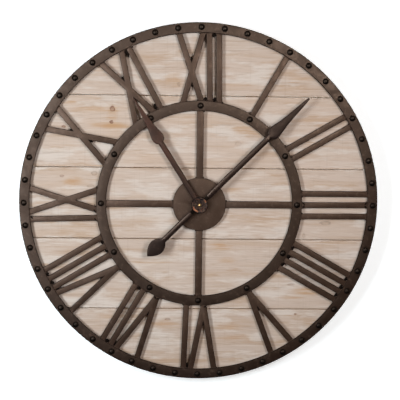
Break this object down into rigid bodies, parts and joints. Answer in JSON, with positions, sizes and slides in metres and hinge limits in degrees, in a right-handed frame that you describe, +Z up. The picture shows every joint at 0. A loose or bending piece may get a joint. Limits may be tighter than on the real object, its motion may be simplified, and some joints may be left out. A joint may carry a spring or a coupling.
{
  "type": "wall clock",
  "caption": "Large round wall clock: riveted strap-metal rings and raised Roman numerals in front of whitewashed boards, two spade hands and a battery movement behind.",
  "frame": {"origin": "the point on the wall where the screw's shank carries the keyhole hanger, straight above the hands' axis; the wall is the plane Y = 0", "axes": "+Z up, +X to the right as seen by a reader, the dial faces -Y and +Y points into the wall"},
  "size_m": [0.7, 0.0616, 0.7],
  "materials": {
    "frame_metal": "dark brown oil-rubbed lacquer on flat steel, matt, worn lighter in places",
    "hand_metal": "dark red-brown lacquer, satin",
    "whitewashed_wood": "sawn fir, thin white wash over tan grain and small knots",
    "batten_wood": "planed pine, bare",
    "zinc_steel": "zinc plated",
    "case_plastic": "black, fine moulded grain",
    "wheel_plastic": "white acetal",
    "brass_parts": "turned, bright",
    "battery_jacket": "plain dark sleeve, no lettering",
    "circuit_laminate": "green laminate",
    "copper_winding": "enamelled copper wire on a laminated yoke",
    "rotor_steel": "sintered magnet"
  },
  "bodies": {
    "clock": {"outer_ring": "frame_metal", "inner_ring": "frame_metal", "hub_plate": "frame_metal", "spoke_12": "frame_metal", "spoke_3": "frame_metal", "spoke_6": "frame_metal", "spoke_9": "frame_metal", "numeral_1_i1": "frame_metal", "numeral_2_i1": "frame_metal", "numeral_2_i2": "frame_metal", "numeral_3_i1": "frame_metal", "numeral_3_i2": "frame_metal", "numeral_3_i3": "frame_metal", "numeral_4_i1": "frame_metal", "numeral_4_i2": "frame_metal", "numeral_4_i3": "frame_metal", "numeral_4_i4": "frame_metal", "numeral_5_v1": "frame_metal", "numeral_6_v1": "frame_metal", "numeral_6_i2": "frame_metal", "numeral_7_v1": "frame_metal", "numeral_7_i2": "frame_metal", "numeral_7_i3": "frame_metal", "numeral_8_v1": "frame_metal", "numeral_8_i2": "frame_metal", "numeral_8_i3": "frame_metal", "numeral_8_i4": "frame_metal", "numeral_9_i1": "frame_metal", "numeral_9_x2": "frame_metal", "numeral_10_x1": "frame_metal", "numeral_11_x1": "frame_metal", "numeral_11_i2": "frame_metal", "numeral_12_x1": "frame_metal", "numeral_12_i2": "frame_metal", "numeral_12_i3": "frame_metal", "board_1": "whitewashed_wood", "board_2": "whitewashed_wood", "board_3": "whitewashed_wood", "board_4": "whitewashed_wood", "board_5": "whitewashed_wood", "batten_left": "batten_wood", "batten_right": "batten_wood", "hanger": "zinc_steel", "case_front": "case_plastic", "case_back": "case_plastic", "hex_nut": "brass_parts", "battery": "battery_jacket", "circuit_board": "circuit_laminate", "motor_coil": "copper_winding"},
    "minute": {"minute_arbor": "brass_parts", "minute_hand": "hand_metal"},
    "hour": {"hour_wheel": "brass_parts", "hour_hand": "hand_metal"},
    "reverse": {"reverse_wheel": "wheel_plastic"},
    "knob": {"setting_knob": "wheel_plastic"},
    "second": {"second_wheel": "wheel_plastic"},
    "third": {"third_wheel": "wheel_plastic"},
    "centre": {"centre_wheel": "wheel_plastic"},
    "intermediate": {"intermediate_wheel": "wheel_plastic"},
    "rotor": {"rotor": "rotor_steel"}
  },
  "joints": [
    {"name": "minute_turn", "type": "hinge", "parent": "clock", "child": "minute", "pos_m": [0, -0.0572, -0.25], "axis": [0, 1, 0], "continuous": true},
    {"name": "hour_turn", "type": "hinge", "parent": "clock", "child": "hour", "pos_m": [0, -0.0494, -0.25], "axis": [0, 1, 0], "continuous": true},
    {"name": "reverse_turn", "type": "hinge", "parent": "clock", "child": "reverse", "pos_m": [0, -0.0155, -0.238], "axis": [0, 1, 0], "continuous": true},
    {"name": "knob_turn", "type": "hinge", "parent": "clock", "child": "knob", "pos_m": [-0.01088, -0.0155, -0.23293], "axis": [0, 1, 0], "continuous": true},
    {"name": "second_turn", "type": "hinge", "parent": "clock", "child": "second", "pos_m": [0, -0.0099, -0.25], "axis": [0, 1, 0], "continuous": true},
    {"name": "third_turn", "type": "hinge", "parent": "clock", "child": "third", "pos_m": [-0.009, -0.0115, -0.25], "axis": [0, 1, 0], "continuous": true},
    {"name": "centre_turn", "type": "hinge", "parent": "clock", "child": "centre", "pos_m": [0, -0.0134, -0.25], "axis": [0, 1, 0], "continuous": true},
    {"name": "intermediate_turn", "type": "hinge", "parent": "clock", "child": "intermediate", "pos_m": [0.00822, -0.0083, -0.24701], "axis": [0, 1, 0], "continuous": true},
    {"name": "rotor_turn", "type": "hinge", "parent": "clock", "child": "rotor", "pos_m": [0.00718, -0.0109, -0.2411], "axis": [0, 1, 0], "continuous": true}
  ],
  "couplings": [
    {"joint": "hour_turn", "follows": "minute_turn", "ratio": 0.083333},
    {"joint": "reverse_turn", "follows": "minute_turn", "ratio": -0.33333},
    {"joint": "knob_turn", "follows": "minute_turn", "ratio": 1},
    {"joint": "third_turn", "follows": "second_turn", "ratio": -0.13333},
    {"joint": "centre_turn", "follows": "second_turn", "ratio": 0.016667},
    {"joint": "intermediate_turn", "follows": "second_turn", "ratio": -6},
    {"joint": "rotor_turn", "follows": "second_turn", "ratio": 30}
  ]
}
